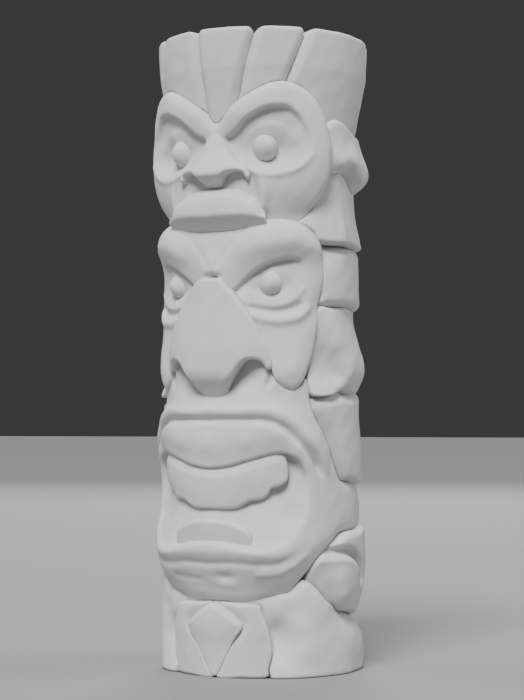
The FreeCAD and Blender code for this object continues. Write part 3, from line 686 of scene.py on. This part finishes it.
def temple_field(block):
    """A square-cornered block, its front top corner bevelled."""
    panel = block.panel
    edge = panel.outline([
        (65.2, 333.4), (80, 333.8), (119.5, 334), (119.5, 285.6), (90, 285), (64, 285.2), (65.7, 300),
        (66.6, 316),
    ])
    face = panel.heights([
        (67, 328, 73.5), (76, 331, 75), (90, 330, 76.5), (119, 330, 76.5), (68, 310, 77.5), (85, 312, 78),
        (119, 310, 77), (68, 291, 77.5), (90, 291, 78), (119, 291, 77.5), (78, 322, 77.5), (72, 318, 76.5),
    ])
    upper = ease(panel.level, 316, 328)
    lower = 1 - ease(panel.level, 289, 300)
    drop = bevelled(edge, 9.0, 10.0) * upper + rolled(edge, 10.0, 8.0) * lower
    return plate(block, edge, face - drop, blend=1.8)


def lobe_field(block):
    """A long ear lobe that swells downward, beside a hollow that runs down to a small ledge."""
    panel = block.panel
    edge = panel.outline([
        (63, 284.8), (80, 284.8), (119.5, 284.9), (119.5, 217.5), (92, 217), (84, 219), (76, 217),
        (62, 215), (57.3, 217), (56.2, 227), (57.4, 238), (59.4, 251), (61.3, 267),
    ])
    face = panel.heights([
        (65, 281, 76), (64, 266, 75), (64, 252, 73.5), (68, 251, 73), (73, 240, 72.5), (64, 238, 73),
        (69, 231, 74), (77, 231, 74), (60, 226, 77.5), (70, 225, 78), (78, 225.5, 77.5), (60, 220, 80.5),
        (70, 220, 80.5), (78, 220, 80), (76, 279, 76.5), (90, 280, 73.5), (119, 280, 71.5),
        (70.5, 268, 77.5), (75, 254, 78.5), (82.5, 241, 80), (84, 264, 78), (119, 264, 74), (86, 250, 80),
        (100, 243, 81.5), (119, 243, 80), (86, 232, 81.5), (104, 232, 82), (119, 232, 80.5),
        (100, 222, 77.5), (119, 222, 74.5), (87, 222, 78),
    ])
    upper = ease(panel.level, 276, 284)
    lower = 1 - ease(panel.level, 219, 229)
    rear = ease(panel.angle, 70, 80)
    drop = rolled(edge, 5.0, 5.0) * upper + rolled(edge, 7.0, 8.0) * lower * rear
    return plate(block, edge, face - drop, blend=1.8)


def flare_field(block):
    """The end of the jaw: a wedge that widens upward, with a bevelled top."""
    panel = block.panel
    edge = panel.outline([
        (57.5, 213.2), (62, 214.8), (76, 216.8), (84, 218.8), (92, 216.8), (119.5, 217.3), (119.5, 149.7),
        (90, 149.7), (84.7, 151.7), (80.2, 160.2), (73.2, 176.2), (66.2, 190.2), (60.2, 203.2),
    ])
    face = panel.heights([
        (60, 211, 80), (72, 213, 79.5), (90, 213, 78), (119, 212, 77), (62, 204, 80.5), (74, 204, 79.5),
        (90, 203, 78.5), (119, 203, 76.5), (70, 190, 78.5), (80, 182, 79), (100, 182, 79), (119, 182, 78),
        (80, 165, 79), (100, 165, 79.5), (119, 165, 78.5), (90, 154, 79), (119, 154, 78.5),
    ])
    upper = ease(panel.level, 204, 212)
    front = ease(-panel.angle, -92, -84) * (1 - upper)
    lower = (1 - ease(panel.level, 152, 162)) * (1 - front)
    slopes = bevelled(edge, 7.5, 9.0) * upper + bevelled(edge, 4.5, 9.0) * front
    drop = slopes + rolled(edge, 7.0, 6.0) * lower
    return plate(block, edge, face - drop, blend=1.8)


def knot_field(block):
    """Two overlapping lobes under the jaw."""
    panel = block.panel
    edge = panel.outline([
        (60.4, 88.8), (66, 95.3), (75, 102.8), (83, 108.5), (98, 109.8), (119.5, 109.3), (119.5, 48),
        (90, 48.2), (81, 49.3), (76, 53.6), (70, 57.2), (65.5, 62.8), (60.5, 68.6), (55.5, 73), (57, 81.5),
    ])
    face = panel.heights([
        (70, 99, 80.5), (84, 104, 82), (100, 105, 82), (119, 103, 81.5), (62, 88, 80), (70.5, 87, 82.8),
        (74, 74, 83.2), (77.5, 61, 82), (82, 86, 83), (86, 72, 83), (88, 60, 81), (92, 80, 83),
        (110, 80, 82), (119, 76, 81.5), (110, 62, 80), (58, 80, 77), (62, 72, 75.5), (67, 64, 75),
        (72, 57, 74.5), (78, 53, 77.5), (66, 78, 79), (71, 68, 79), (90, 51, 78), (119, 52, 76),
        (88, 92, 82.5),
    ])
    valley = panel.line([(66, 97.5), (74, 95.5), (84, 94.5), (92, 91), (98, 84), (103, 72)])
    lip = panel.line([(61, 88), (70, 89), (80, 88), (88, 85), (93, 78)])
    face = face + ridge(valley, -7.5, 3.4) + ridge(lip, 1.0, 3.0)
    upper = ease(panel.level, 96, 104)
    face = face - rolled(edge, 5.0, 5.0) * upper - rolled(edge, 2.0, 3.0) * (1 - upper)
    return plate(block, edge, face, blend=2.0)


def kite_field(block):
    """The bow's knot: a kite that stands proud at the top and dies away into the leaves at the bottom."""
    panel = block.panel
    edge = panel.outline(KITE_EDGE)
    face = panel.heights(both_sides([
        (0, 56, 82.5), (0, 42, 83), (15, 41, 82.5), (0, 30, 81.5), (11, 26, 79.3), (0, 14, 79),
        (4, 10, 78.4), (0, 4, 78.2),
    ]))
    upper = ease(panel.level, 34, 44)
    return plate(block, edge, face - bevelled(edge, 4.8, 5.0) * upper, blend=1.2, inner=BOW_BACK)


def leaf_field(block):
    """One leaf of the bow, half under the kite."""
    panel = block.panel
    edge = panel.outline([
        (0.2, 56.4), (14, 56.4), (25.5, 56), (28, 50.5), (30.5, 43), (33.4, 30), (34, 18), (32.4, 7),
        (31, 0.8), (16, 0.4), (1, 0.4), (0.2, 20), (0.2, 40),
    ])
    kite = panel.outline(KITE_EDGE)
    face = panel.heights([
        (8, 56, 79), (24, 55, 80), (18, 40, 79.5), (30, 38, 79.5), (10, 25, 78.3), (32, 25, 78),
        (20, 12, 77.5), (31, 10, 77), (3, 6, 77.8), (16, 3, 77.2),
    ])
    face = face - 2.0 * ease(-kite, -7.0, 0.0) * ease(panel.level, 22.0, 36.0) - rolled(edge, 1.5, 2.5)
    body = plate(block, edge, face, blend=1.5, inner=BOW_BACK)
    return np.maximum(body, -block.look(kite))


def collar_field(block):
    """The base ring: shoulders either side of the chin, and a hollow either side of the bow."""
    panel = block.panel
    top = panel.outline(mirrored_line(COLLAR_TOP + [(185, 48), (185, -30)]), smooth=False)
    face = panel.heights(both_sides([
        (42, 61, 77), (47, 69, 78), (54, 71, 79), (56, 58, 81), (66, 54, 80), (72, 49, 77.5), (85, 46, 71),
        (100, 46, 68), (119, 46, 67.5), (140, 46, 67.5), (180, 46, 67.5), (62, 36, 81), (85, 36, 77),
        (100, 36, 75), (119, 36, 74.5), (140, 36, 74), (180, 36, 74), (85, 28, 79.5), (119, 28, 78.3),
        (140, 28, 78), (180, 28, 78), (0, 62, 70), (20, 62, 70), (33, 62, 73), (36, 55, 75.5), (38, 47, 75),
        (38, 37, 69.5), (38, 28, 69), (38.5, 17, 74), (39, 8, 78.5), (42, 36, 72.5), (42, 28, 72),
        (44, 19, 76.5), (46, 38, 77), (46, 52, 77.5), (50, 38, 80), (50, 22, 80.3), (46, 8, 80.3),
        (60, 8, 80.5), (100, 8, 79), (140, 8, 78.5), (180, 8, 78.5), (20, 8, 73), (20, 40, 72), (0, 20, 72),
        (0, 50, 72),
    ]))
    shoulder = ease(panel.level, 52, 60)
    body = plate(block, top, face - bevelled(top, 2.8, 5.5) * shoulder, blend=2.0)
    bow_edge = panel.outline(both_sides([
        (0, 58), (25, 58), (30.6, 43.2), (33.6, 30.2), (34.2, 18), (32.6, 6), (31.2, 0.3), (0, 0.3),
    ]))
    bow_bed = np.maximum(block.look(bow_edge), BOW_BACK + TOUCH - block.radius)
    return soft_max(np.maximum(body, -bow_bed), -block.z, blend=1.5)


def stave_field(number):
    """One stave of the crown: flared and leaning, with a V down each side and a flat top with a worn rim."""

    def field(block):
        lean = (block.z - CROWN_LEAN_FROM) / (CROWN_LEAN_TO - CROWN_LEAN_FROM)
        lean = np.clip(lean, LEAN_LEAST, LEAN_MOST)
        start, end = (low + (high - low) * lean for high, low in CROWN_SEAMS[number : number + 2])
        middle, half = (start + end) / 2, (end - start) / 2
        turned = (block.angle - middle + 180) % 360 - 180
        gap = (np.abs(turned) - half) * np.radians(block.radius)
        flat = np.interp(block.z[0, 0], *CROWN_FLARE).astype(np.float32)
        face = flat - bevelled(gap, 4.6, 8.0)
        crown = CROWN_TOP - bevelled(gap, 4.2, 6.5)
        body = soft_max(gap - TOUCH, block.radius - face, blend=1.5)
        body = soft_max(body, block.z - crown, blend=3.5)
        body = np.maximum(body, LOG_RADIUS - block.radius)
        body = np.maximum(body, CROWN_ROOT - block.z)
        return np.maximum(body, -TOUCH - block.look(block.panel.outline(UPPER_MASK_EDGE)))

    return field


def log_field(block):
    """The log: round under the blocks, with a full, shallowly hewn back and a slightly domed top."""
    back_angle = 180.0 - np.abs(block.angle)
    facets = 0.9 * np.cos(np.radians(back_angle * BACK_FACETS))
    waves = 0.5 * np.sin(block.z / 23.0 + back_angle / 19.0)
    ends = np.maximum(BACK_LOW - block.z, block.z - BACK_HIGH)
    edge = np.maximum((back_angle - BACK_HALF_ANGLE) * ARC, ends)
    back = soft_max(edge, block.radius - (BACK_RADIUS + facets + waves), blend=3.0)
    heart = np.maximum(block.radius - LOG_RADIUS, block.z - (LOG_TOP - LOG_DOME * block.radius**2))
    return np.maximum(np.minimum(heart, np.maximum(back, BACK_INNER - block.radius)), -block.z)


# ---------------------------------------------------------------- materials

def new_material(name, roughness):
    """A plain material, with its nodes, its links and its shader."""
    material = bpy.data.materials.new(name)
    material.use_nodes = True
    tree = material.node_tree
    shader = tree.nodes["Principled BSDF"]
    shader.inputs["Roughness"].default_value = roughness
    return material, tree.nodes, tree.links, shader


def add_noise(nodes, links, place, scale, detail):
    """A noise pattern that stays fixed to the piece."""
    noise = nodes.new("ShaderNodeTexNoise")
    noise.inputs["Scale"].default_value = scale
    noise.inputs["Detail"].default_value = detail
    links.new(place.outputs["Object"], noise.inputs["Vector"])
    return noise


def add_ramp(nodes, *stops):
    """A ramp from one colour to another, given as two places with their colours."""
    ramp = nodes.new("ShaderNodeValToRGB")
    for element, (place, colour) in zip(ramp.color_ramp.elements, stops):
        element.position = place
        element.color = (*colour, 1)
    return ramp


def grey(tone):
    """A neutral colour."""
    return (tone, tone, tone)


def clay_grey(name, tone, roughness):
    """Matt pale grey, faintly mottled, with painted shade darkening its creases and painted highlight
    lightening its edges.
    """
    material, nodes, links, shader = new_material(name, roughness)
    shader.inputs["Specular IOR Level"].default_value = 0.3
    place = nodes.new("ShaderNodeTexCoord")
    mottle = add_noise(nodes, links, place, scale=22.0, detail=4.0)
    shades = add_ramp(nodes, (0.3, grey(tone * 0.95)), (0.7, grey(tone * 1.03)))
    links.new(mottle.outputs["Fac"], shades.inputs["Fac"])
    # Painted shade and painted highlight: the surface's pointiness darkens the colour in creases and lightens
    # it on edges.
    wear_and_shade = nodes.new("ShaderNodeNewGeometry")
    bend = add_ramp(nodes, (0.44, grey(0.9)), (0.56, grey(1.04)))
    links.new(wear_and_shade.outputs["Pointiness"], bend.inputs["Fac"])
    mix = nodes.new("ShaderNodeMix")
    mix.data_type = "RGBA"
    mix.blend_type = "MULTIPLY"
    mix.inputs["Factor"].default_value = 1.0
    links.new(shades.outputs["Color"], mix.inputs["A"])
    links.new(bend.outputs["Color"], mix.inputs["B"])
    links.new(mix.outputs["Result"], shader.inputs["Base Color"])
    grit = add_noise(nodes, links, place, scale=900.0, detail=3.0)
    bump = nodes.new("ShaderNodeBump")
    bump.inputs["Strength"].default_value = 0.06
    bump.inputs["Distance"].default_value = 0.0005
    links.new(grit.outputs["Fac"], bump.inputs["Height"])
    links.new(bump.outputs["Normal"], shader.inputs["Normal"])
    return material


def turned_wood(name):
    """Plain pale turned wood with a straight fine grain."""
    material, nodes, links, shader = new_material(name, 0.6)
    place = nodes.new("ShaderNodeTexCoord")
    grain = nodes.new("ShaderNodeTexWave")
    grain.inputs["Scale"].default_value = 160.0
    grain.inputs["Distortion"].default_value = 3.0
    links.new(place.outputs["Object"], grain.inputs["Vector"])
    shades = add_ramp(nodes, (0.0, (0.42, 0.33, 0.22)), (1.0, (0.56, 0.46, 0.33)))
    links.new(grain.outputs["Fac"], shades.inputs["Fac"])
    links.new(shades.outputs["Color"], shader.inputs["Base Color"])
    return material


def stage_material(name, tone):
    """The plain pale floor."""
    material, _, _, shader = new_material(name, 0.9)
    shader.inputs["Base Color"].default_value = (*grey(tone), 1)
    return material


# ---------------------------------------------------------------- assembly

FLOOR_SIZE = 60.0  # metres
LIGHT_DISTANCE, LIGHT_SIZE = 4.5, 2.0  # metres
AREA_LIGHTS = (  # name, azimuth, elevation and power
    ("top", 29, 80, 40),
    ("left", 285, 22, 45),
    ("right", 116, 26, 82),
    ("back", 205, 28, 110),
)
CAMERA_AZIMUTH = 29.0
CAMERA_DISTANCE, CAMERA_LEVEL, AIM_LEVEL = 1528.0, 191.6, 253.4  # the figure's units
AIM_ASIDE = 0.0008  # metres to the picture's left of the figure's axis
LENS_LENGTH, SENSOR_WIDTH = 97.6, 36.0  # millimetres


def carve_all(rough, smooth):
    """Every carved piece, in place of its CAD node."""
    lower_eye = eye_field(33.8, 302.3, offset=67, depth=15, width=10.2, height=11)
    upper_eye = eye_field(30.5, 407.3, offset=67, depth=15.5, width=10.8, height=11.8)
    carve("core_log", log_field, rough, cell=1.8)
    carve("base_collar", collar_field, rough, cell=1.2)
    carve("bow_kite", kite_field, rough, cell=0.7)
    carve("bow_leaf_left", leaf_field, rough, cell=0.8, mirror=True)
    carve("mouth_block", mouth_block_field, rough, cell=1.1, margin=32)
    carve("teeth", teeth_field, smooth, cell=0.9, margin=10)
    carve("tongue", tongue_field, rough, cell=0.9, margin=14)
    carve("lower_mask", lower_mask_field, rough, cell=0.95, margin=10)
    carve("lower_nose", lower_nose_field, rough, cell=0.8, margin=8)
    carve("lower_eye_left", lower_eye, smooth, cell=0.6, mirror=True)
    carve("upper_mask", upper_mask_field, rough, cell=0.95, margin=12)
    carve("upper_nose", upper_nose_field, rough, cell=0.7, margin=8)
    carve("upper_lip", upper_lip_field, rough, cell=0.8, margin=8)
    carve("upper_eye_left", upper_eye, smooth, cell=0.6, mirror=True)
    carve("upper_ear_left", ear_field, rough, cell=0.8, margin=8, mirror=True)
    carve("upper_hair_left", hair_field, rough, cell=0.9, margin=16, mirror=True)
    carve("temple_block_left", temple_field, rough, cell=0.8, mirror=True)
    carve("ear_lobe_left", lobe_field, rough, cell=0.8, margin=10, mirror=True)
    carve("jaw_flare_left", flare_field, rough, cell=0.8, margin=8, mirror=True)
    carve("side_knot_left", knot_field, rough, cell=0.8, margin=8, mirror=True)
    for number in range(len(CROWN_SEAMS) - 1):
        carve(f"crown_stave_{number + 1}", stave_field(number), rough, cell=0.9, margin=12)


def dress_dowels(wood):
    """The hidden dowels keep their CAD shape, in their own wood."""
    for name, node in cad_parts.items():
        if name.endswith("dowels"):
            node.data.materials.clear()
            node.data.materials.append(wood)


def add_floor(material):
    """A wide plain floor."""
    bpy.ops.mesh.primitive_plane_add(size=FLOOR_SIZE, location=(0, 0, FLOOR_LEVEL))
    floor = bpy.context.object
    floor.name = "floor"
    floor.data.materials.append(material)


def hang_light(lamp, azimuth, elevation):
    """Places a light on its side of the figure, aimed at the figure's middle."""
    target = Vector((0, 0, FLOOR_LEVEL + FIGURE_HEIGHT / 2 * UNIT))
    turn, lift = math.radians(azimuth), math.radians(elevation)
    way = Vector((math.sin(turn) * math.cos(lift), -math.cos(turn) * math.cos(lift), math.sin(lift)))
    light = bpy.data.objects.new(lamp.name, lamp)
    light.location = target + way * LIGHT_DISTANCE
    light.rotation_euler = (-way).to_track_quat("-Z", "Y").to_euler()
    bpy.context.scene.collection.objects.link(light)


def add_area_light(name, azimuth, elevation, power):
    """A soft square light."""
    lamp = bpy.data.lights.new(name, "AREA")
    lamp.shape = "SQUARE"
    lamp.size = LIGHT_SIZE
    lamp.energy = power
    hang_light(lamp, azimuth, elevation)


def add_key_light(name, azimuth, elevation, spread, strength):
    """A broad key light, so far off that it lights the whole floor evenly."""
    lamp = bpy.data.lights.new(name, "SUN")
    lamp.angle = math.radians(spread)
    lamp.energy = strength
    hang_light(lamp, azimuth, elevation)


def light_scene():
    """A soft key high over the figure's front, weaker lights round the sides and back, and a dim surround."""
    add_key_light("key", azimuth=14, elevation=47, spread=26, strength=5.4)
    for name, azimuth, elevation, power in AREA_LIGHTS:
        add_area_light(name, azimuth, elevation, power)
    world = bpy.data.worlds.new("studio")
    bpy.context.scene.world = world
    world.use_nodes = True
    surround = world.node_tree.nodes["Background"]
    surround.inputs["Color"].default_value = (0.8, 0.8, 0.8, 1)
    surround.inputs["Strength"].default_value = 0.06


def add_camera():
    """Level with the lower mask, a little to the figure's left of its front, tilted slightly up."""
    azimuth = math.radians(CAMERA_AZIMUTH)
    across, back = math.cos(azimuth), math.sin(azimuth)
    distance, height, aim = CAMERA_DISTANCE * UNIT, CAMERA_LEVEL * UNIT, AIM_LEVEL * UNIT
    camera = bpy.data.cameras.new("camera")
    camera.lens = LENS_LENGTH
    camera.sensor_width = SENSOR_WIDTH
    view = bpy.data.objects.new("camera", camera)
    view.location = (distance * back, -distance * across, FLOOR_LEVEL + height)
    target = Vector((-AIM_ASIDE * across, -AIM_ASIDE * back, FLOOR_LEVEL + aim))
    view.rotation_euler = (target - view.location).to_track_quat("-Z", "Y").to_euler()
    bpy.context.scene.collection.objects.link(view)
    bpy.context.scene.camera = view


carve_all(clay_grey("carved_grey", 0.56, 0.75), clay_grey("smooth_grey", 0.58, 0.7))
dress_dowels(turned_wood("dowel_wood"))
add_floor(stage_material("pale_floor", 0.22))
light_scene()
add_camera()
